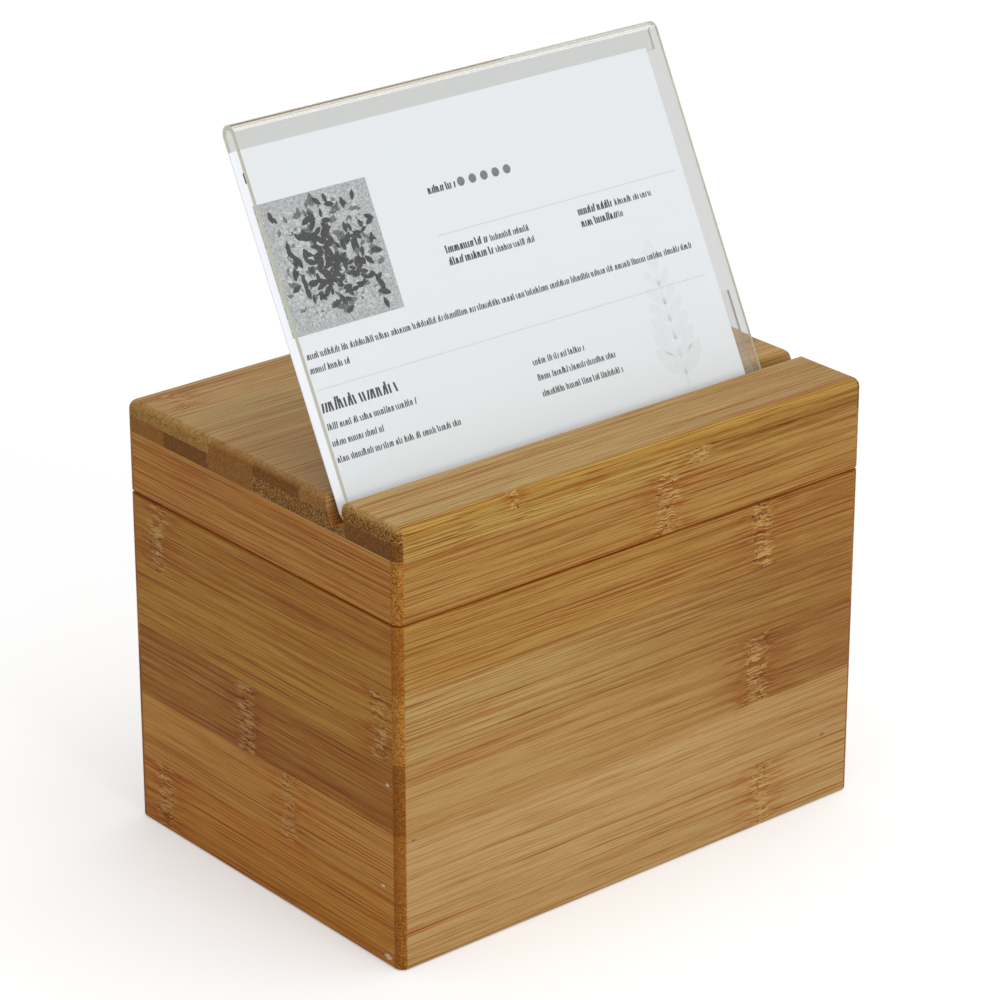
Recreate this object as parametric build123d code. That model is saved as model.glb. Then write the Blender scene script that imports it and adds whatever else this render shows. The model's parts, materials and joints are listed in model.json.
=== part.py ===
from build123d import *
import math
import os

# Recipe card box in pressed bamboo board. An open box carries a hinged lid. A leaning slot runs
# across the lid's top, and a bent clear sheet stands in it and holds one card up to be read.
# Millimetres: X along the width, Y from front to back, Z up. The origin is the middle of the foot.

# ---- Case: the box and the lid share one plan, one wall and one corner joint ----
box_width = 178.0
box_depth = 127.6
wall_thickness = 9.0
corner_lip = 3.0  # wood left past the rabbet, seen as end grain on the left and right sides
corner_radius = 2.9  # upright corners, sanded round after glue-up
body_height = 107.85
foot_easing = 0.8  # lower edge of the box
rim_easing = 0.5  # small bevels on both sides of the parting line

# ---- Bottom board, held in a groove in the four walls ----
base_thickness = 5.0
base_lift = 4.0  # from the foot of the walls to the bottom board
groove_depth = 4.0
groove_clearance = 0.25

# ---- Lid: four rails under one wide top board ----
lid_gap = 0.3
rail_height = 19.45
top_thickness = 9.5
top_edge_radius = 2.9

# ---- Slot across the top board, open at both ends ----
slot_setback = 25.2  # front face to the slot's front edge
slot_tilt = 22.0  # degrees from upright, leaning back
slot_floor_wood = 1.4  # thinnest wood under the slot
front_lip_radius = 0.5
back_lip_radius = 2.5

# ---- Card holder: one clear sheet, bent back into a hook at the top and a trough at the foot ----
sheet_thickness = 1.6
leaf_gap = 2.9
holder_width = 156.8
holder_height = 114.7
hook_drop = 8.4  # from the crest to the end of the hook
lip_height = 31.0  # from the foot to the top of the trough's back lip
holder_inset = 3.4  # left side of the box to the holder's left edge
holder_play = 5.2  # degrees that the holder leans back past the slot's own tilt
seat_clearance = 0.1

# ---- Card standing in the trough, its upper edge behind the hook's leaf ----
card_width = 154.2
card_height = 104.5
card_thickness = 0.3
card_foot = 2.7  # from the holder's foot up to the card
card_overhang = 1.1  # how far the card stands out past the holder's left edge
card_clearance = 0.1

# ---- Two butt hinges let into the back edges ----
hinge_inset = 37.0  # side of the box to the middle of a hinge
hinge_length = 25.0
hinge_plate = 0.8
plate_margin = 0.8  # wood left between a hinge plate and the inner face of the wall
knuckle_radius = 1.6
knuckle_gap = 0.2
pin_radius = 0.75
pin_clearance = 0.05
pin_head_radius = 1.25
pin_head_thickness = 0.4
hinge_clearance = 0.3
axis_inset = 1.2  # from the back face in to the hinge axis

# ---- Bevels on the back edges that stop the open lid ----
open_angle = 110.0
lid_bevel_angle = 68.0
stop_clearance = 0.15

# ---- Countersunk hinge screws ----
screw_spacing = 16.0
screw_head_radius = 1.5
screw_shank_radius = 0.7
screw_length = 6.0
screw_fit = 0.05
recess_length = 1.7
recess_width = 0.35
recess_depth = 0.45

# Places that follow from the sizes above
inner_width = box_width - 2 * wall_thickness
inner_depth = box_depth - 2 * wall_thickness
lid_bottom = body_height + lid_gap
top_bottom = lid_bottom + rail_height
lid_top = top_bottom + top_thickness
hinge_y = box_depth / 2 - axis_inset
hinge_z = body_height + lid_gap / 2
hinge_centres = (-box_width / 2 + hinge_inset, box_width / 2 - hinge_inset)
plate_width = wall_thickness - axis_inset - plate_margin
knuckle_length = (hinge_length - 2 * knuckle_gap) / 3
barrel_radius = knuckle_radius + hinge_clearance
bore_radius = pin_radius + pin_clearance
screw_y = hinge_y - (barrel_radius + plate_width) / 2
holder_thickness = 2 * sheet_thickness + leaf_gap
holder_left = -box_width / 2 + holder_inset

# Directions in the Y-Z plane: up the slot's wall and across its floor, up the holder and through it
slot_lean = math.radians(slot_tilt)
play = math.radians(holder_play)
holder_lean = slot_lean + play
slot_up = Vector(0, math.sin(slot_lean), math.cos(slot_lean))
slot_across = Vector(0, math.cos(slot_lean), -math.sin(slot_lean))
holder_up = Vector(0, math.sin(holder_lean), math.cos(holder_lean))
holder_through = Vector(0, math.cos(holder_lean), -math.sin(holder_lean))

# Middle of the rounding on the slot's back lip, up the back wall from the slot's floor
slot_depth = top_thickness - slot_floor_wood
back_lip_rise = (slot_depth - back_lip_radius * (1 - math.sin(slot_lean))) / math.cos(slot_lean)

# The slot is just wide enough for the holder to lean back until it meets the rounded back lip,
# with its round foot against the front wall and on the floor.
bend_radius = holder_thickness / 2
foot_rise = bend_radius + seat_clearance
slot_width = (
    foot_rise
    - back_lip_radius
    + (foot_rise + back_lip_radius + (back_lip_rise - foot_rise) * math.sin(play)) / math.cos(play)
)
front_wall_height = (slot_depth - slot_width * math.sin(slot_lean)) / math.cos(slot_lean)
back_wall_height = slot_depth / math.cos(slot_lean)

slot_mouth = Vector(0, -box_depth / 2 + slot_setback, lid_top)
slot_front_foot = slot_mouth - slot_up * front_wall_height
slot_back_foot = slot_front_foot + slot_across * slot_width
slot_back_mouth = slot_back_foot + slot_up * back_wall_height
holder_foot = (
    slot_front_foot
    + (slot_across + slot_up) * foot_rise
    - (holder_through + holder_up) * bend_radius
)


def block(x, y, z):
    """Square piece between a low and a high value along each axis."""
    middle = Pos(sum(x) / 2, sum(y) / 2, sum(z) / 2)
    return middle * Box(x[1] - x[0], y[1] - y[0], z[1] - z[0])


def span(half):
    """Low and high value of a length centred on zero."""
    return (-half, half)


def yz_face(points, radii):
    """Closed outline in the Y-Z plane, with a radius at each corner."""
    outline = FilletPolyline(*points, radius=radii, close=True)
    return make_face(Plane.YZ * outline)


def case_form(low, high):
    """Outer form of the assembled case between two heights, its upright corners sanded round."""
    plan = Pos(0, 0, low) * RectangleRounded(box_width, box_depth, corner_radius)
    return extrude(plan, high - low)


def box_form():
    """Outer form of the box, its foot rounded and its rim bevelled."""
    form = case_form(0, body_height)
    form = fillet(form.edges().group_by(Axis.Z)[0], foot_easing)
    return chamfer(form.edges().group_by(Axis.Z)[-1], rim_easing)


def lid_form():
    """Outer form of the lid's rails, the rim bevelled and the glued top edge left square."""
    form = case_form(lid_bottom, top_bottom)
    return chamfer(form.edges().group_by(Axis.Z)[0], rim_easing)


def front_board(low, high):
    """Full-width board with a rabbet at each end that takes the end of a side board."""
    board = block(span(box_width / 2), (-box_depth / 2, -inner_depth / 2), (low, high))
    rabbet_y = (-box_depth / 2 + corner_lip, -inner_depth / 2)
    board -= block((-box_width / 2, -inner_width / 2), rabbet_y, (low, high))
    board -= block((inner_width / 2, box_width / 2), rabbet_y, (low, high))
    return board


def left_board(low, high):
    """Board that stands between the lips of the front and back boards."""
    return block((-box_width / 2, -inner_width / 2), span(box_depth / 2 - corner_lip), (low, high))


def stop_bevel(tilt_from_level):
    """Waste outside a bevel that passes just short of the hinge axis; a negative tilt faces down."""
    angle = math.radians(tilt_from_level)
    facing = math.copysign(1, tilt_from_level)
    outward = Vector(0, abs(math.sin(angle)), facing * math.cos(angle))
    bevel = Plane(origin=(0, hinge_y, hinge_z), x_dir=(1, 0, 0), z_dir=outward)
    reach = 2 * wall_thickness
    waste = Box(box_width + reach, reach, reach, align=(Align.CENTER, Align.CENTER, Align.MIN))
    return bevel * Pos(0, 0, -stop_clearance) * waste


def barrel(radius, low, high):
    """Round bar on the hinge axis between two values of X."""
    return Pos((low + high) / 2, hinge_y, hinge_z) * Rot(0, 90, 0) * Cylinder(radius, high - low)


def hinge_room(centre):
    """Mortise, barrel groove and pilot holes that one hinge needs in the box and in the lid."""
    half_length = hinge_length / 2 + hinge_clearance
    half_barrel = half_length + pin_head_thickness
    room = barrel(barrel_radius, centre - half_barrel, centre + half_barrel)
    room += block(
        (centre - half_length, centre + half_length),
        (hinge_y - plate_width - hinge_clearance, hinge_y),
        (body_height - hinge_plate, lid_bottom + hinge_plate),
    )
    for side in (-1, 1):
        pilot = Cylinder(screw_shank_radius + screw_fit, 2 * (screw_length + screw_fit) + lid_gap)
        room += Pos(centre + side * screw_spacing / 2, screw_y, hinge_z) * pilot
    return room


def bottom_panel():
    """Plain board whose edges stand in the grooves of the four walls."""
    reach = groove_depth - groove_clearance
    return block(
        span(inner_width / 2 + reach),
        span(inner_depth / 2 + reach),
        (base_lift, base_lift + base_thickness),
    )


def box_walls():
    """Four walls of the box, grooved for the bottom board and cut for the hinges."""
    groove = block(
        span(inner_width / 2 + groove_depth),
        span(inner_depth / 2 + groove_depth),
        (base_lift, base_lift + base_thickness + groove_clearance),
    )
    form = box_form()
    front = front_board(0, body_height) - groove
    left = left_board(0, body_height) - groove
    back = mirror(front, about=Plane.XZ) - stop_bevel(open_angle - lid_bevel_angle)
    for centre in hinge_centres:
        back -= hinge_room(centre)
    return {
        "front_panel": front & form,
        "back_panel": back & form,
        "left_panel": left & form,
        "right_panel": mirror(left & form, about=Plane.YZ),
    }


def lid_rails():
    """Four rails of the lid, jointed at the corners as the walls of the box are."""
    form = lid_form()
    front = front_board(lid_bottom, top_bottom)
    left = left_board(lid_bottom, top_bottom)
    back = mirror(front, about=Plane.XZ) - stop_bevel(-lid_bevel_angle)
    for centre in hinge_centres:
        back -= hinge_room(centre)
    return {
        "lid_front_rail": front & form,
        "lid_back_rail": back & form,
        "lid_left_rail": left & form,
        "lid_right_rail": mirror(left & form, about=Plane.YZ),
    }


def lid_top_panel():
    """Top board with rounded upper edges on all four sides and the leaning slot across it."""
    front = -box_depth / 2
    back = box_depth / 2
    profile = [
        (front, top_bottom, 0),
        (front, lid_top, 0),
        (slot_mouth.Y, slot_mouth.Z, front_lip_radius),
        (slot_front_foot.Y, slot_front_foot.Z, 0),
        (slot_back_foot.Y, slot_back_foot.Z, 0),
        (slot_back_mouth.Y, slot_back_mouth.Z, back_lip_radius),
        (back, lid_top, 0),
        (back, top_bottom, 0),
    ]
    section = yz_face([(y, z) for y, z, _ in profile], [radius for _, _, radius in profile])
    board = extrude(section, box_width / 2, dir=(1, 0, 0), both=True)
    form = case_form(top_bottom, lid_top)
    return board & fillet(form.edges().group_by(Axis.Z)[-1], top_edge_radius)


def holder_plane(x):
    """Plane across the holder at a given X: its X runs through the holder and its Y runs up it."""
    origin = Vector(x, holder_foot.Y, holder_foot.Z)
    return Plane(origin=origin, x_dir=holder_through, z_dir=(1, 0, 0))


def card_holder():
    """Clear sheet bent back at both ends, with the back left open between its hook and its lip."""
    middle = Pos(bend_radius, holder_height / 2)
    outer = SlotOverall(holder_height, holder_thickness, rotation=90)
    inner = SlotOverall(holder_height - 2 * sheet_thickness, leaf_gap, rotation=90)
    hook_end = holder_height - hook_drop
    opening = Pos(holder_thickness - sheet_thickness / 2, (lip_height + hook_end) / 2)
    opening *= Rectangle(2 * sheet_thickness, hook_end - lip_height)
    return extrude(holder_plane(holder_left) * (middle * (outer - inner) - opening), holder_width)


def recipe_card():
    """Single card against the inner faces of the holder's lip and hook."""
    back_of_card = sheet_thickness + leaf_gap - card_clearance
    middle = Pos(back_of_card - card_thickness / 2, card_foot + card_height / 2)
    face = middle * Rectangle(card_thickness, card_height)
    return extrude(holder_plane(holder_left - card_overhang) * face, card_width)


def knuckle_ranges(centre):
    """X ranges of a hinge's three knuckles: the outer two are the box's, the middle one the lid's."""
    pitch = knuckle_length + knuckle_gap
    middles = (centre - pitch, centre, centre + pitch)
    return [(middle - knuckle_length / 2, middle + knuckle_length / 2) for middle in middles]


def hinge_leaf(centre, own, others, plate_z):
    """Plate with its own knuckles rolled on the axis, notched round the other leaf's knuckles."""
    plate_x = (centre - hinge_length / 2, centre + hinge_length / 2)
    leaf = block(plate_x, (hinge_y - plate_width, hinge_y), plate_z)
    for low, high in others:
        notch_x = (low - knuckle_gap, high + knuckle_gap)
        leaf -= block(notch_x, (hinge_y - barrel_radius, hinge_y), plate_z)
    for low, high in own:
        leaf += barrel(knuckle_radius, low, high)
    return leaf - barrel(bore_radius, *plate_x)


def screw_body(fit):
    """Countersunk screw standing head up on the origin, grown by a fit to make its hole."""
    shank_length = screw_length - hinge_plate
    head = Cone(screw_shank_radius + fit, screw_head_radius + fit, hinge_plate)
    shank = Cylinder(screw_shank_radius + fit, shank_length)
    return Pos(0, 0, -hinge_plate / 2) * head + Pos(0, 0, -hinge_plate - shank_length / 2) * shank


def screw():
    """Countersunk screw with a cross recess in its head."""
    body = screw_body(0)
    for turn in (0, 90):
        recess = Box(recess_length, recess_width, 2 * recess_depth)
        body -= Rot(0, 0, turn) * recess
    return body


def screw_places(face_z, upright):
    """Where the screws of both hinges stand on one face, heads up or heads down."""
    flip = Rot(0, 0, 0) if upright else Rot(180, 0, 0)
    offsets = (-screw_spacing / 2, screw_spacing / 2)
    return [Pos(c + x, screw_y, face_z) * flip for c in hinge_centres for x in offsets]


def hinges():
    """Both hinges: leaves, pins and screws."""
    box_places = screw_places(body_height, upright=True)
    lid_places = screw_places(lid_bottom, upright=False)
    parts = {
        "hinge_screws_box": Compound(children=[place * screw() for place in box_places]),
        "hinge_screws_lid": Compound(children=[place * screw() for place in lid_places]),
    }
    for side, centre in zip(("left", "right"), hinge_centres):
        first, middle, last = knuckle_ranges(centre)
        box_leaf = hinge_leaf(centre, [first, last], [middle], (body_height - hinge_plate, body_height))
        lid_leaf = hinge_leaf(centre, [middle], [first, last], (lid_bottom, lid_bottom + hinge_plate))
        for place in box_places:
            box_leaf -= place * screw_body(screw_fit)
        for place in lid_places:
            lid_leaf -= place * screw_body(screw_fit)
        parts["hinge_leaf_box_" + side] = box_leaf
        parts["hinge_leaf_lid_" + side] = lid_leaf
        parts["hinge_pin_" + side] = hinge_pin(first[0], last[1])
    return parts


def hinge_pin(low, high):
    """Pin through the three knuckles, riveted over into a thin head at each end."""
    pin = barrel(pin_radius, low, high)
    pin += barrel(pin_head_radius, low - pin_head_thickness, low)
    pin += barrel(pin_head_radius, high, high + pin_head_thickness)
    return pin


def assembly():
    """Every piece of the closed box with the holder and the card standing in the lid."""
    parts = {"bottom_panel": bottom_panel()}
    parts.update(box_walls())
    parts.update(lid_rails())
    parts["lid_top_panel"] = lid_top_panel()
    parts.update(hinges())
    parts["card_holder"] = card_holder()
    parts["recipe_card"] = recipe_card()
    return parts


os.makedirs("parts", exist_ok=True)
for node, shape in assembly().items():
    export_step(shape, os.path.join("parts", node + ".step"))
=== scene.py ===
import json
import math
import random

import bpy
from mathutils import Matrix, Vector


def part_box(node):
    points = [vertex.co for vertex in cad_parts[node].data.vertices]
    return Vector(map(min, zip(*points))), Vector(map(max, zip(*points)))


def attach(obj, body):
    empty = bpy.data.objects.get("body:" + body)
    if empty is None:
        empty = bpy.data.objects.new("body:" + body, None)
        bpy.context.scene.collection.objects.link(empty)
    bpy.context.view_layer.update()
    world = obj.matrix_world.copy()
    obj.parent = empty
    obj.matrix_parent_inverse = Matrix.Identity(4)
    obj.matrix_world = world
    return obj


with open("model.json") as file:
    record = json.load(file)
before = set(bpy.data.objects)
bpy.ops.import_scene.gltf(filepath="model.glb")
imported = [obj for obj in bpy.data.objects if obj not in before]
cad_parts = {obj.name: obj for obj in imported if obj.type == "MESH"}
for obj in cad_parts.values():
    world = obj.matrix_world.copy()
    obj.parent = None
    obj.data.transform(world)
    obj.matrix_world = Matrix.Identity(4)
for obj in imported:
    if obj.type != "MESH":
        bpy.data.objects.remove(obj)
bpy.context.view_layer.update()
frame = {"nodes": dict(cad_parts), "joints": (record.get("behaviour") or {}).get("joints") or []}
node = frame["nodes"]

# ---- Walls of the box and rails of the lid ----
# Boards of carbonised bamboo, 9 mm thick, glued up from split strips laid flat, then sanded and
# lacquered. Each strip keeps its own shade and has a knotted band at each joint of the cane. Where
# a board is cut across its grain, the ends of the fibres show as fine dots.


class Reading:
    """One value on its way through a finish. Arithmetic on it adds the Math nodes for it."""

    def __init__(self, finish, socket):
        self.finish = finish
        self.socket = socket

    def worked(self, operation, *terms):
        return self.finish.add("Math", {"operation": operation}, dict(enumerate(terms)))

    def __add__(self, other):
        return self.worked("ADD", self, other)

    def __sub__(self, other):
        return self.worked("SUBTRACT", self, other)

    def __rsub__(self, other):
        return self.worked("SUBTRACT", other, self)

    def __mul__(self, other):
        return self.worked("MULTIPLY", self, other)

    def __truediv__(self, other):
        return self.worked("DIVIDE", self, other)

    def __rtruediv__(self, other):
        return self.worked("DIVIDE", other, self)

    def __gt__(self, other):
        return self.worked("GREATER_THAN", self, other)

    def __lt__(self, other):
        return self.worked("LESS_THAN", self, other)

    def __abs__(self):
        return self.worked("ABSOLUTE", self)

    __radd__ = __add__
    __rmul__ = __mul__


class Finish:
    """A named finish: one material, and the few moves that its nodes are made with."""

    def __init__(self, name):
        self.material = bpy.data.materials.new(name)
        self.material.use_nodes = True
        self.tree = self.material.node_tree
        self.tree.nodes.clear()

    def add(self, kind, settings=None, inputs=None, output=0):
        """One node of a kind. Its settings come first, then the values or links of its sockets."""
        made = self.tree.nodes.new("ShaderNode" + kind)
        for name, setting in (settings or {}).items():
            if name == "stops":
                stops = made.color_ramp.elements
                while len(stops) < len(setting):
                    stops.new(1.0)
                for stop, (place, colour) in zip(stops, setting):
                    stop.position = place
                    stop.color = colour
            elif name == "between_stops":
                made.color_ramp.interpolation = setting
            else:
                setattr(made, name, setting)
        for name, value in (inputs or {}).items():
            if isinstance(value, Reading):
                self.tree.links.new(value.socket, made.inputs[name])
            else:
                made.inputs[name].default_value = value
        return Reading(self, made.outputs[output] if made.outputs else None)

    def parts(self, vector):
        """The X, Y and Z of a vector."""
        apart = self.add("SeparateXYZ", None, {"Vector": vector})
        return [Reading(self, socket) for socket in apart.socket.node.outputs]

    def place(self):
        """Where a point lies on the closed box, in millimetres."""
        return [part * 1000 for part in self.parts(self.add("TexCoord", output="Object"))]

    def facing(self):
        """Which way the surface faces there, before any pose."""
        return self.parts(self.add("TexCoord", output="Normal"))

    def rise(self, value, low, high):
        """0 below low and 1 above high, with a smooth climb between."""
        inputs = {"Value": value, "From Min": low, "From Max": high}
        return self.add("MapRange", {"interpolation_type": "SMOOTHSTEP"}, inputs)

    def cloud(self, x, y, z, detail=2.0, roughness=0.5):
        """Cloudy pattern from 0 to 1 whose lumps are about one unit across."""
        place = self.add("CombineXYZ", None, {"X": x, "Y": y, "Z": z})
        inputs = {"Vector": place, "Scale": 1.0, "Detail": detail, "Roughness": roughness}
        return self.add("TexNoise", None, inputs)

    def specks(self, x, y, z):
        """Distance to the nearest of many scattered points, about one unit apart."""
        place = self.add("CombineXYZ", None, {"X": x, "Y": y, "Z": z})
        return self.add("TexVoronoi", None, {"Vector": place, "Scale": 1.0})

    def mix(self, share, first, second, blend="MIX"):
        """Two colours mixed. The share is how much of the second there is."""
        share_socket, first_socket, second_socket, mixed_colour = 0, 6, 7, 2
        inputs = {share_socket: share, first_socket: first, second_socket: second}
        return self.add("Mix", {"data_type": "RGBA", "blend_type": blend}, inputs, mixed_colour)

    def stain(self, share, colour, tint):
        """A colour multiplied by a tint, as a stain darkens wood."""
        return self.mix(share, colour, tint, "MULTIPLY")

    def bump(self, height, depth_mm):
        """Fine relief of the surface, up to a depth given in millimetres."""
        return self.add("Bump", None, {"Height": height, "Distance": depth_mm / 1000})

    def close(self, sockets):
        """The surface that all of this feeds, which ends the finish."""
        shader = self.add("BsdfPrincipled", None, sockets)
        self.add("OutputMaterial", None, {"Surface": shader})
        return self.material


def shade(red, green, blue):
    """A colour as it looks, in steps of 255, turned into light."""
    steps = (red / 255, green / 255, blue / 255)
    light = [s / 12.92 if s <= 0.04045 else ((s + 0.055) / 1.055) ** 2.4 for s in steps]
    return (*light, 1.0)


fibre_brown = shade(212, 176, 128)
fibre_amber = shade(232, 190, 138)
fibre_red = shade(210, 157, 102)
heart_brown = shade(208, 174, 118)
straw = shade(206, 170, 108)
knot_cream = shade(208, 172, 104)
knot_brown = shade(198, 153, 102)
pit_brown = shade(54, 30, 10)
end_dark = shade(138, 102, 66)
glue_brown = shade(196, 158, 118)
gap_shade_amber = shade(240, 206, 144)

# Sizes in mm: the gap under the lid and the eased edges beside it, a glue line, the wood's relief,
# and how far the knots wander, their fibres waver and the strips' cut ends fray
half_gap = 0.15
parting_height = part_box("front_panel")[1].z * 1000 + half_gap
eased_rim = 0.5
half_glue_line = 0.08
wood_relief = 0.12
knot_wander = 8.0
knot_waver = 1.5
end_fray = 2.4


def by_strip(finish, across, first, span, strips, cut_end=False):
    """Shade of the strip at a point and how strong its grain is, or the same for its cut end."""
    shade_column, strength_column = (2, 4) if cut_end else (1, 3)
    stops = []
    for strip in strips:
        tint = (*strip[shade_column][:3], strip[strength_column])
        stops.append(((strip[0] - first) / span, tint))
    settings = {"between_stops": "CONSTANT", "stops": stops}
    found = finish.add("ValToRGB", settings, {"Fac": (across - first) / span})
    return found, Reading(finish, found.socket.node.outputs["Alpha"])


def bamboo(
    name, cut, first, span, layers, knots,
    stains=(), marks=(), layer_joint=None, far_shift=None, pale_rim=None,
):
    """Bamboo board, whose strips lie up the front, up the sides or over the flat top.

    The strips fill a span in mm from the first edge on. Each lists its lower edge, its shade, the
    shade of its cut end, and how strongly its grain and the dots of its cut end show. In a board of
    two layers, the second layer's strips lie below the joint. A knot lists its centre along the
    grain, half its width, and the edges and depths that it lies between. A stain lists where along
    the grain it starts and is full, the edges that it lies between, its top and its strength. A
    mark lists its place, size and tint. On the far side of the box the strips are turned about and
    shifted, so that no two sides match, and the rim of a side may be pale above a height.
    """
    finish = Finish(name)
    x, y, z = finish.place()
    facing_x, facing_y, facing_z = finish.facing()
    along, across, through = {"front": (x, z, y), "side": (y, z, x), "flat": (x, y, z)}[cut]
    end_on = facing_y if cut == "side" else facing_x
    if far_shift:
        far = through > 0.0
        along = along * (1 - 2 * far)
        across = across + far * far_shift

    # Knots: a ragged band across one strip, where the fibres waver together
    ragged = finish.cloud(along * 0.03, across * 1.1, through * 1.1, 3.0)
    drift = finish.cloud(along * 0.02, across * 0.2, through * 0.05)
    band = halo = 0.0
    for centre, half_width, low, high, under, over in knots:
        here = (across > low) * (across < high) * (through > under) * (through < over)
        off = abs(along - centre + (drift - 0.5) * knot_wander)
        off = off + (ragged - 0.5) * half_width * 1.6
        band = band + here * (1 - finish.rise(off, half_width * 0.45, half_width))
        halo = halo + here * (1 - finish.rise(off, half_width * 0.6, half_width * 3.6))
    waver = finish.cloud(along * 0.45, across * 0.22, through * 0.22, 1.0)
    bow = finish.cloud(along * 0.02, across * 0.05, 0.0)
    bent = across + band * (waver - 0.5) * knot_waver + (bow - 0.5)

    # Fibres: fine lines, amber streaks and slow changes of shade, all drawn out along the grain
    fine = finish.cloud(along * 0.04, bent * 4.2, through * 4.2, 2.0, 0.7)
    streak = finish.cloud(along * 0.01, bent * 1.7, through * 1.7, 3.0, 0.6)
    line = finish.cloud(along * 0.016, bent * 3.3, through * 3.3, 2.0, 0.6)
    wide = finish.cloud(along * 0.007, bent * 0.32, through * 0.32, 3.0, 0.6)
    flame = finish.cloud(along * 0.09, bent * 1.3, through * 1.3, 2.0, 0.6)
    grainy = finish.cloud(along * 0.05, across * 1.4, through * 1.4, 3.0)
    frayed = across + (grainy - 0.5) * end_fray
    tone, grain = by_strip(finish, across, first, span, layers[0])
    end_tone, dots = by_strip(finish, frayed, first, span, layers[0], cut_end=True)
    if layer_joint:
        below = through < layer_joint
        under_tone, _ = by_strip(finish, across, first, span, layers[1])
        under_end, under_dots = by_strip(finish, frayed, first, span, layers[1], cut_end=True)
        tone = finish.mix(below, tone, under_tone)
        end_tone = finish.mix(below, end_tone, under_end)
        dots = dots + below * (under_dots - dots)
    for start, stop, low, high, top, share in stains:
        here = (across > low) * (across < high) * (z < top) * finish.rise(along, start, stop)
        tone = finish.stain(here * share, tone, heart_brown)
    colour = finish.stain(finish.rise(wide, 0.45, 0.7) * 0.42, tone, fibre_brown)
    colour = finish.mix(finish.rise(fine, 0.5, 0.64) * 0.3, colour, straw)
    colour = finish.stain(finish.rise(streak, 0.55, 0.6) * grain * 0.7, colour, fibre_amber)
    colour = finish.stain(finish.rise(line, 0.57, 0.61) * grain * 0.8, colour, fibre_red)
    colour = finish.stain((1 - finish.rise(fine, 0.36, 0.46)) * 0.6, colour, fibre_brown)

    # Knot figure: amber flames run into the band, where cream lobes lie in brown, pricked with pits
    colour = finish.stain(halo * finish.rise(flame, 0.46, 0.6), colour, fibre_amber)
    figure = finish.cloud(along * 0.17, bent * 1.7, through * 1.7, 2.0, 0.6)
    lobes = finish.rise(figure, 0.5, 0.56)
    lobe_rims = 1 - finish.rise(abs(figure - 0.46), 0.008, 0.035)
    colour = finish.mix(band * lobes * 0.5, colour, knot_cream)
    colour = finish.stain(band * lobe_rims, colour, knot_brown)
    pits = band * (finish.specks(along * 0.4, across * 0.4, through * 0.4) < 0.14)
    colour = finish.mix(pits * 0.85, colour, pit_brown)

    # Cut ends of the fibres: light dots in dark gaps, which fade to the face colour where a rounded
    # edge turns up, as painted light from above
    turned_up_painted_light = finish.rise(facing_z, 0.3, 1.0)
    cut_across = finish.rise(abs(end_on), 0.12, 0.3) * (1 - 0.75 * turned_up_painted_light)
    stipple = finish.cloud(along * 0.05, across * 2.9, through * 2.9, 1.0)
    gaps = 1 - finish.rise(stipple, 0.4, 0.52)
    end_colour = finish.stain(gaps * dots, end_tone, end_dark)
    end_colour = finish.mix(finish.rise(stipple, 0.54, 0.62) * dots * 0.4, end_colour, straw)
    end_colour = finish.stain(finish.rise(grainy, 0.45, 0.7) * 0.5, end_colour, fibre_brown)
    colour = finish.mix(cut_across, colour, end_colour)

    # Glue lines between the strips, and painted shade on the eased edges beside the gap where the
    # lid meets the box
    seam = 0.0
    for strip in layers[0][1:]:
        seam = seam + (abs(across - strip[0]) < half_glue_line)
    colour = finish.stain(seam * 0.3, colour, glue_brown)
    # Painted shade: the eased edges beside the gap under the lid are darkened and reddened, as the
    # shadow in the gap
    upright = abs(facing_z) < 0.9
    colour = finish.stain((abs(z - parting_height) < eased_rim) * upright, colour, gap_shade_amber)
    if pale_rim:
        colour = finish.mix((z > pale_rim) * 0.35, colour, straw)

    # Small chips and smudges, drawn out along the grain
    for place_along, place_across, radius, tint in marks:
        off = abs(along - place_along) + abs(across - place_across) * 2
        colour = finish.mix((off < radius) * 0.6, colour, tint)

    relief = fine * 0.3 + streak * 0.15 + band * figure * 0.9 - cut_across * gaps * dots * 0.5
    return finish.close({
        "Base Color": colour,
        "Roughness": 0.52 - fine * 0.12 + cut_across * 0.1,
        "Normal": finish.bump(relief, wood_relief),
        "Specular IOR Level": 0.13,
    })


all_through = (-99, 99)
above_box = 140
front_honey = shade(172, 132, 66)
front_amber = shade(171, 130, 62)
front_olive = shade(181, 150, 91)
front_rosy = shade(182, 146, 87)
front_pale = shade(191, 157, 104)
front_fawn = shade(188, 153, 99)
end_gold = shade(177, 119, 39)
end_orange = shade(160, 98, 22)
end_red = shade(142, 83, 16)
front_strips = [
    (0.0, front_fawn, end_orange, 1.0, 0.5),
    (21.1, front_pale, end_orange, 0.65, 0.3),
    (42.5, front_rosy, end_red, 0.8, 0.3),
    (65.0, front_olive, end_gold, 1.15, 0.5),
    (86.5, front_amber, end_orange, 1.2, 0.35),
    (108.0, front_honey, end_gold, 1.3, 0.6),
]
front_knots = [
    (10.5, 5.0, 108.0, 128.0, *all_through),
    (49.0, 4.6, 86.5, 108.0, *all_through),
    (48.0, 6.0, 42.5, 65.0, *all_through),
    (51.0, 4.6, 0.0, 21.1, *all_through),
]
front_stains = [
    (-60.0, 75.0, 65.0, 86.5, above_box, 0.85),
    (-40.0, 30.0, 42.5, 65.0, above_box, 0.2),
    (20.0, 60.0, 42.5, 65.0, above_box, 0.75),
    (-10.0, 85.0, 86.5, 108.0, above_box, 0.35),
    (20.0, 85.0, 21.1, 42.5, above_box, 0.3),
]
smudge = shade(104, 72, 36)
front_marks = [(76.6, 22.7, 1.2, smudge), (-84.0, 41.0, 0.9, smudge)]
top_of_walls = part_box("lid_front_rail")[1].z * 1000
front_wood = bamboo(
    "bamboo_front", "front", 0.0, top_of_walls, [front_strips], front_knots,
    stains=front_stains, marks=front_marks, far_shift=7.0,
)
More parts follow.
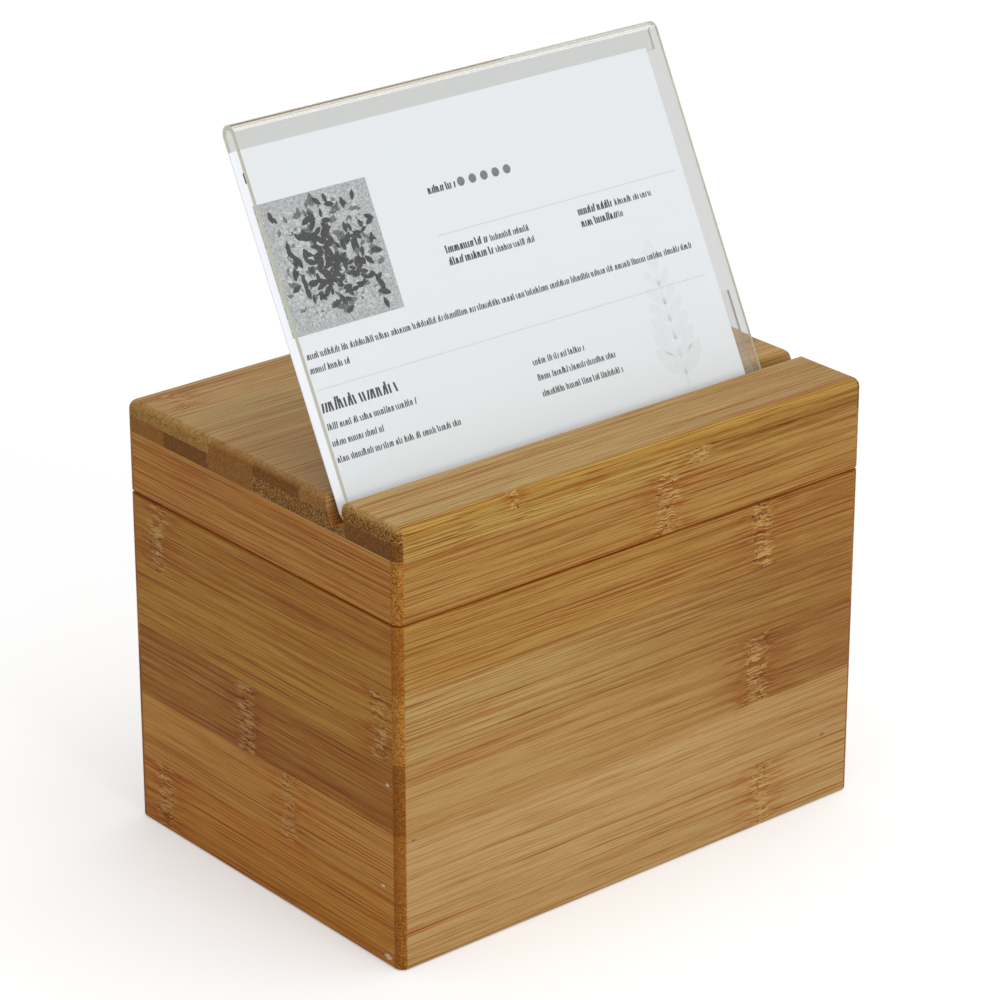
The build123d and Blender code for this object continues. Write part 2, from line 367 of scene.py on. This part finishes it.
for part in ("front_panel", "back_panel", "lid_front_rail", "lid_back_rail"):
    node[part].material_slots[0].material = front_wood

# The sides' shades are the wood's own tones, made deeper and less blue than the front's: painted
# shade for the weaker sheen on the sides
side_rosy = shade(194, 133, 46)
side_pale = shade(195, 140, 60)
side_red = shade(166, 110, 33)
side_gold = shade(180, 129, 41)
side_brown = shade(177, 124, 35)
side_honey = shade(188, 132, 52)
side_strips = [
    (0.0, side_rosy, end_orange, 1.2, 0.5),
    (21.6, side_pale, end_orange, 1.15, 0.3),
    (43.0, side_red, end_red, 1.25, 0.3),
    (65.0, side_gold, end_gold, 1.25, 0.5),
    (86.0, side_brown, end_orange, 1.3, 0.35),
    (108.0, side_honey, end_gold, 1.4, 0.6),
]
side_knots = [
    (50.0, 4.8, 86.0, 108.0, *all_through),
    (-55.5, 4.5, 65.0, 86.0, *all_through),
    (8.0, 5.6, 43.0, 65.0, *all_through),
    (-12.5, 4.3, 21.6, 43.0, *all_through),
    (50.5, 5.5, 0.0, 21.6, *all_through),
]
chip_white = shade(232, 226, 212)
side_marks = [
    (-58.0, 2.8, 2.0, chip_white),
    (-58.5, 58.0, 1.0, chip_white),
    (-56.0, 25.0, 1.0, chip_white),
]
side_wood = bamboo(
    "bamboo_side", "side", 0.0, top_of_walls, [side_strips], side_knots,
    marks=side_marks, far_shift=9.0, pale_rim=top_of_walls - 0.4,
)
for part in ("left_panel", "right_panel", "lid_left_rail", "lid_right_rail"):
    node[part].material_slots[0].material = side_wood

# ---- Bottom board ----
# A thinner board of the same bamboo, whose edges float in a groove cut round the four walls.
# Its strips run from side to side across the box.
bottom_low, bottom_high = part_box("bottom_panel")
bottom_front = bottom_low.y * 1000
bottom_span = (bottom_high.y - bottom_low.y) * 1000
bottom_tones = (front_rosy, front_olive, front_pale, front_honey, front_pale, front_rosy)
bottom_pitch = bottom_span / len(bottom_tones)
bottom_edges = [bottom_front + k * bottom_pitch for k in range(len(bottom_tones))]
bottom_strips = [(edge, tone, end_gold, 1.0, 0.5) for edge, tone in zip(bottom_edges, bottom_tones)]
bottom_depths = (0, 20)
bottom_knots = [
    (-38.0, 4.5, bottom_edges[0], bottom_edges[1], *bottom_depths),
    (22.0, 5.0, bottom_edges[2], bottom_edges[3], *bottom_depths),
]
node["bottom_panel"].material_slots[0].material = bamboo(
    "bamboo_bottom", "flat", bottom_front, bottom_span, [bottom_strips], bottom_knots
)

# ---- Top board of the lid ----
# Two layers of strips, glued so that their joints are staggered. The upper edges are rounded over,
# and the leaning slot is milled right across, so both layers show in it and at the board's ends.
top_low, top_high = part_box("lid_top_panel")
top_front = top_low.y * 1000
top_span = (top_high.y - top_low.y) * 1000
layer_joint = 132.6
upper_layer = (132, above_box)
lower_layer = (120, layer_joint)
top_rosy = shade(178, 144, 88)
top_pale = shade(175, 147, 91)
top_gold = shade(180, 137, 66)
top_olive = shade(175, 140, 65)
top_lime = shade(181, 152, 81)
slot_orange = shade(178, 122, 56)
end_pale = shade(171, 129, 63)
end_brown = shade(149, 98, 34)
end_dusk = shade(122, 73, 14)
end_umber = shade(150, 102, 32)
end_gilt = shade(158, 110, 51)
upper_strips = [
    (top_front, top_olive, end_umber, 1.25, 1.0),
    (-61.5, top_pale, end_umber, 1.3, 1.0),
    (-40.0, top_pale, end_umber, 1.3, 1.0),
    (-32.5, top_rosy, end_gilt, 1.1, 0.4),
    (-20.0, top_rosy, end_dusk, 1.1, 0.3),
    (1.2, top_rosy, end_brown, 1.1, 0.3),
    (22.4, top_pale, end_pale, 1.2, 0.6),
    (43.8, top_rosy, end_pale, 1.4, 0.6),
]
lower_strips = [
    (top_front, top_lime, end_dusk, 1.0, 0.3),
    (-41.2, slot_orange, end_umber, 1.0, 0.9),
    (-19.7, top_rosy, end_umber, 1.0, 0.9),
    (1.8, top_gold, end_brown, 1.0, 0.3),
    (23.0, side_red, end_dusk, 1.0, 0.2),
    (44.6, top_rosy, end_brown, 1.0, 0.2),
]
top_knots = [
    (-78.0, 3.2, 45.0, 58.0, *upper_layer),
    (-47.0, 2.4, -64.0, -61.5, *upper_layer),
    (22.0, 5.5, -64.0, -41.2, *lower_layer),
]
top_stains = [
    (10.0, 45.0, -64.0, -41.2, layer_joint, 0.9),
    (-20.0, 80.0, -61.5, -41.5, above_box, 0.4),
]
node["lid_top_panel"].material_slots[0].material = bamboo(
    "bamboo_top", "flat", top_front, top_span, [upper_strips, lower_strips], top_knots,
    stains=top_stains, layer_joint=layer_joint,
)

# ---- Hinges and their screws ----
# Small butt hinges of brass-plated steel, let flush into the back edges, with a riveted pin and
# countersunk cross-head screws.


def brass(name, colour, worn_colour, roughness):
    """Plated brass, brushed along the hinge and dulled in soft patches."""
    finish = Finish(name)
    x, y, z = finish.place()
    brushed = finish.cloud(x * 0.3, y * 7.0, z * 7.0, 3.0, 0.7)
    dull = finish.cloud(x * 0.2, y * 0.2, z * 0.2, 3.0, 0.6)
    return finish.close({
        "Base Color": finish.mix(finish.rise(dull, 0.45, 0.7), colour, worn_colour),
        "Roughness": roughness + brushed * 0.14 + dull * 0.1,
        "Normal": finish.bump(brushed, 0.004),
        "Metallic": 1.0,
    })


hinge_brass = brass("hinge_brass", shade(214, 176, 104), shade(168, 130, 72), 0.24)
screw_brass = brass("screw_brass", shade(222, 188, 122), shade(176, 140, 84), 0.2)
for name, part in node.items():
    if name.startswith("hinge_screws"):
        part.material_slots[0].material = screw_brass
    elif name.startswith("hinge"):
        part.material_slots[0].material = hinge_brass

# ---- Card holder ----
# One clear acrylic sheet, bent back into a hook at the top and a trough at the foot. Its faces are
# nearly clear, and its sawn edges, which gather light from all of the sheet, look khaki. Shadows
# and bounced light pass straight through it.
holder = Finish("clear_acrylic")
holder_x, holder_y, holder_z = holder.place()
wipe = holder.cloud(holder_x * 0.03, holder_y * 0.12, holder_z * 0.12, 3.0)
face = holder.add("BsdfPrincipled", None, {
    "Base Color": shade(243, 244, 243),
    "Roughness": 0.02 + wipe * 0.03,
    "IOR": 1.49,
    "Transmission Weight": 1.0,
})
sawn = holder.cloud(holder_x * 3.0, holder_y * 0.3, holder_z * 0.3, 3.0)
edge = holder.add("BsdfPrincipled", None, {
    "Base Color": holder.mix(sawn, shade(240, 238, 218), shade(224, 221, 194)),
    "Roughness": 0.3 + sawn * 0.2,
})
lift_axes = [joint["axis"] for joint in frame["joints"] if joint["name"] == "holder_lift"]
holder_up = Vector(lift_axes[0])
faces_x, faces_y, faces_z = holder.facing()
sawn_sides = holder.rise(abs(faces_x), 0.6, 0.9)
sawn_ends = holder.rise(abs(faces_y * holder_up.y + faces_z * holder_up.z), 0.965, 0.99)
sheet = holder.add("MixShader", None, {0: sawn_sides + sawn_ends, 1: face, 2: edge})
lit_through = holder.add("BsdfTransparent", None, {"Color": shade(252, 253, 252)})
shadow = holder.add("LightPath", output="Is Shadow Ray")
bounced = holder.add("LightPath", output="Is Diffuse Ray")
acrylic = holder.add("MixShader", None, {0: shadow + bounced, 1: sheet, 2: lit_through})
holder.add("OutputMaterial", None, {"Surface": acrylic})
node["card_holder"].material_slots[0].material = holder.material

# ---- Card ----
# A white card that stands in the holder's trough. Its print is generic: thin rules, short strokes
# in the place of words, a row of beads, a pale sprig, and a grey picture of scattered leaves.
card = Finish("printed_card")
card_x, card_y, card_z = card.place()
paper = card.cloud(card_x * 2.2, card_y * 2.2, card_z * 2.2, 4.0, 0.7)
node["recipe_card"].material_slots[0].material = card.close({
    "Base Color": card.mix(paper * 0.5, shade(246, 248, 254), shade(240, 242, 249)),
    "Roughness": 0.62 + paper * 0.15,
    "Normal": card.bump(paper, 0.02),
    "Specular IOR Level": 0.3,
})
card_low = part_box("recipe_card")[0]
card_out = Vector((0.0, -holder_up.z, holder_up.y))
card_thickness = 0.3
front_foot = card_low.z + card_thickness / 1000 * holder_up.y
card_corner = Vector((card_low.x, card_low.y, front_foot))


def on_card(right, up, lift):
    """Point on the card's printed face, in mm from its lower left corner."""
    return card_corner + (Vector((right, 0.0, 0.0)) + holder_up * up + card_out * lift) / 1000


def print_on_card(name, outlines, lift, ink_light, ink_dark):
    """One ink of the print: flat outlines that lie on the card's face."""
    corners = [on_card(right, up, lift) for outline in outlines for right, up in outline]
    faces = []
    start = 0
    for outline in outlines:
        faces.append(tuple(range(start, start + len(outline))))
        start += len(outline)
    mesh = bpy.data.meshes.new(name)
    mesh.from_pydata(corners, [], faces)
    ink = Finish(name)
    ink_x, ink_y, ink_z = ink.place()
    speckle = ink.cloud(ink_x * 1.6, ink_y * 1.6, ink_z * 1.6, 4.0, 0.7)
    mesh.materials.append(ink.close({
        "Base Color": ink.mix(ink.rise(speckle, 0.35, 0.65), ink_light, ink_dark),
        "Roughness": 0.5 + speckle * 0.2,
        "Specular IOR Level": 0.3,
    }))
    piece = bpy.data.objects.new(name, mesh)
    bpy.context.scene.collection.objects.link(piece)
    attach(piece, "card")


def bar(left, low, width, height):
    """Four corners of a bar, anticlockwise as seen."""
    return [(left, low), (left + width, low), (left + width, low + height), (left, low + height)]


def words(left, low, right, height, weight):
    """Short leaning strokes in the place of words, from a left to a right limit."""
    strokes = []
    pitch = 0.42 * height
    wide = pitch * weight
    word_end = left + rng.uniform(5.0, 14.0) * pitch
    while left < right:
        if left > word_end:
            left += pitch
            word_end = left + rng.uniform(2.0, 14.0) * pitch
        top = low + height * rng.choice((1.0, 1.0, 1.0, 1.35))
        lean = pitch * rng.uniform(-0.5, 0.5)
        foot = [(left, low), (left + wide, low)]
        strokes.append(foot + [(left + wide + lean, top), (left + lean, top)])
        left += pitch
    return strokes


def leaf(right, up, turn, length, width):
    """Pointed leaf with its stalk at a point, turned to an angle."""
    rim = [(t / 6, math.sin(math.pi * t / 6) ** 0.8) for t in range(7)]
    rim += [(t, -w) for t, w in reversed(rim[1:-1])]
    return [
        (
            right + length * t * math.cos(turn) - width * w * math.sin(turn),
            up + length * t * math.sin(turn) + width * w * math.cos(turn),
        )
        for t, w in rim
    ]


# Rows of words: where each starts, its height on the card, and where it ends
rng = random.Random(5)
title_height, bold_height, plain_height = 2.7, 1.75, 1.45
headings = words(4.0, 28.1, 31.0, title_height, 0.62)
headings.append(bar(2.4, 95.1, 0.8, 3.0))
for left, low, right in (
    (61.0, 79.1, 70.2),
    (61.0, 61.5, 76.0),
    (61.0, 57.9, 77.0),
    (111.0, 61.7, 124.0),
    (111.0, 58.1, 124.4),
):
    headings += words(left, low, right, bold_height, 0.72)
lines = []
for left, low, right in (
    (77.5, 61.5, 91.7),
    (78.3, 57.9, 92.5),
    (125.2, 61.7, 139.6),
    (125.4, 58.1, 126.8),
    (4.3, 43.4, 148.6),
    (4.0, 39.4, 17.6),
    (4.0, 23.1, 34.7),
    (4.0, 18.4, 22.0),
    (4.0, 13.7, 48.4),
    (79.1, 23.6, 97.5),
    (79.1, 19.0, 108.7),
    (79.1, 14.2, 109.7),
):
    lines += words(left, low, right, plain_height, 0.62)

# Beads, rules and sprig
first_bead, bead_row, bead_pitch, bead_radius = 73.4, 80.4, 4.3, 1.4
beads = []
for k in range(5):
    turns = [t * math.pi / 6 for t in range(12)]
    middle = first_bead + bead_pitch * k
    beads.append([
        (middle + bead_radius * math.cos(turn), bead_row + bead_radius * math.sin(turn))
        for turn in turns
    ])
rules = [bar(4.5, 34.5, 146.0, 0.25), bar(60.0, 66.9, 91.0, 0.25)]
stem = 132.5
sprig = [bar(stem - 0.5, 4.0, 1.0, 36.0), leaf(stem, 39.0, math.pi / 2, 11.0, 2.6)]
for k in range(6):
    for side in (-1, 1):
        length = 13.0 - 1.1 * k
        turn = math.pi / 2 - side * 0.75
        sprig.append(leaf(stem, 8.0 + 5.4 * k, turn, length, length * 0.2))

# Picture: leaves scattered over a grey ground, thickest in the middle
picture_left, picture_low, picture_width, picture_height = 2.3, 50.3, 39.0, 38.3
ground = [bar(picture_left, picture_low, picture_width, picture_height)]
leaf_tones = ("dark", "mid", "light")
leaves = {tone: [] for tone in leaf_tones}
spread = {"dark": 0.2, "mid": 0.22, "light": 0.28}
margin = 4.4
for k in range(480):
    tone = leaf_tones[k % 3]
    right = picture_left + picture_width * rng.gauss(0.5, spread[tone])
    up = picture_low + picture_height * rng.gauss(0.48, spread[tone])
    right = min(max(right, picture_left + margin), picture_left + picture_width - margin)
    up = min(max(up, picture_low + margin), picture_low + picture_height - margin)
    turn = rng.uniform(0, 2 * math.pi)
    length = rng.uniform(2.4, margin)
    leaves[tone].append(leaf(right, up, turn, length, length * 0.22))

# Each ink lies a few hundredths of a millimetre above the one that it overprints
for name, outlines, lift, ink_light, ink_dark in (
    ("print_headings", headings, 0.03, shade(40, 40, 44), shade(24, 24, 28)),
    ("print_lines", lines, 0.03, shade(66, 67, 72), shade(42, 43, 48)),
    ("print_beads", beads, 0.03, shade(126, 127, 130), shade(104, 105, 108)),
    ("print_rules", rules, 0.03, shade(226, 230, 236), shade(212, 217, 224)),
    ("print_sprig", sprig, 0.02, shade(243, 245, 250), shade(235, 237, 243)),
    ("print_picture_ground", ground, 0.03, shade(206, 207, 210), shade(150, 151, 154)),
    ("print_leaves_mid", leaves["mid"], 0.05, shade(128, 129, 131), shade(74, 75, 77)),
    ("print_leaves_light", leaves["light"], 0.07, shade(222, 223, 225), shade(166, 167, 169)),
    ("print_leaves_dark", leaves["dark"], 0.09, shade(30, 31, 33), shade(12, 13, 15)),
):
    print_on_card(name, outlines, lift, ink_light, ink_dark)

# ---- Studio ----
# A plain pale floor under two large soft lamps, in a white room, with the camera where the
# photograph was taken. The camera's place and lens were worked out from the box's straight edges.
scene = bpy.context.scene


def look(thing, place, target):
    """Stand a lamp or a camera at a place and turn it to a target."""
    thing.location = place
    thing.rotation_euler = (Vector(target) - Vector(place)).to_track_quat("-Z", "Y").to_euler()
    scene.collection.objects.link(thing)


def lamp(name, kind, energy, place, target):
    """Soft lamp at a place, turned to a target."""
    light = bpy.data.lights.new(name, kind)
    light.energy = energy
    look(bpy.data.objects.new(name, light), place, target)
    return light


camera = bpy.data.objects.new("camera", bpy.data.cameras.new("camera"))
camera.data.lens = 144.51
camera.data.sensor_width = 36.0
look(camera, (-0.70848, -0.84516, 0.57542), (0.0, -0.0015, 0.10152))
scene.camera = camera
front_lamp = lamp("front_lamp", "AREA", 5.6, (0.0, -1.35, 0.55), (0.0, 0.0, 0.08))
front_lamp.size = 0.7
overhead_lamp = lamp("overhead_lamp", "SUN", 1.45, (0.3, -0.2, 2.0), (0.0, 0.0, 0.0))
overhead_lamp.angle = math.radians(70)


class Room(Finish):
    """The light of the room around, which takes nodes in the same way as a finish."""

    def __init__(self, name):
        self.world = bpy.data.worlds.new(name)
        self.world.use_nodes = True
        self.tree = self.world.node_tree
        self.tree.nodes.clear()


white = (1.0, 1.0, 1.0, 1.0)
room = Room("room")
direct = room.add("LightPath", output="Is Camera Ray")
mirrored = room.add("LightPath", output="Is Glossy Ray")
through_clear = room.add("LightPath", output="Is Transmission Ray")
after_matt = room.add("LightPath", output="Diffuse Depth") > 0.5
soft = room.add("Background", None, {"Color": white, "Strength": 0.4})
plain = room.add("Background", None, {"Color": white, "Strength": 1.0})
seen = (direct + mirrored + through_clear) * (1 - after_matt)
light = room.add("MixShader", None, {0: seen, 1: soft, 2: plain})
room.add("OutputWorld", None, {"Surface": light})
scene.world = room.world

floor_half = 4.0
floor_height = -0.0001
floor_mesh = bpy.data.meshes.new("floor")
corner_signs = ((-1, -1), (1, -1), (1, 1), (-1, 1))
floor_corners = [(x * floor_half, y * floor_half, floor_height) for x, y in corner_signs]
floor_mesh.from_pydata(floor_corners, [], [(0, 1, 2, 3)])
floor = bpy.data.objects.new("floor", floor_mesh)
scene.collection.objects.link(floor)
backdrop = Finish("backdrop_paper")
matt = backdrop.add("BsdfDiffuse", None, {"Color": (0.82, 0.82, 0.82, 1.0)})
glow_strength = backdrop.add("LightPath", output="Is Camera Ray") * 0.3
glow = backdrop.add("Emission", None, {"Color": white, "Strength": glow_strength})
backdrop_surface = backdrop.add("AddShader", None, {0: matt, 1: glow})
backdrop.add("OutputMaterial", None, {"Surface": backdrop_surface})
floor_mesh.materials.append(backdrop.material)

scene.view_settings.view_transform = "Standard"
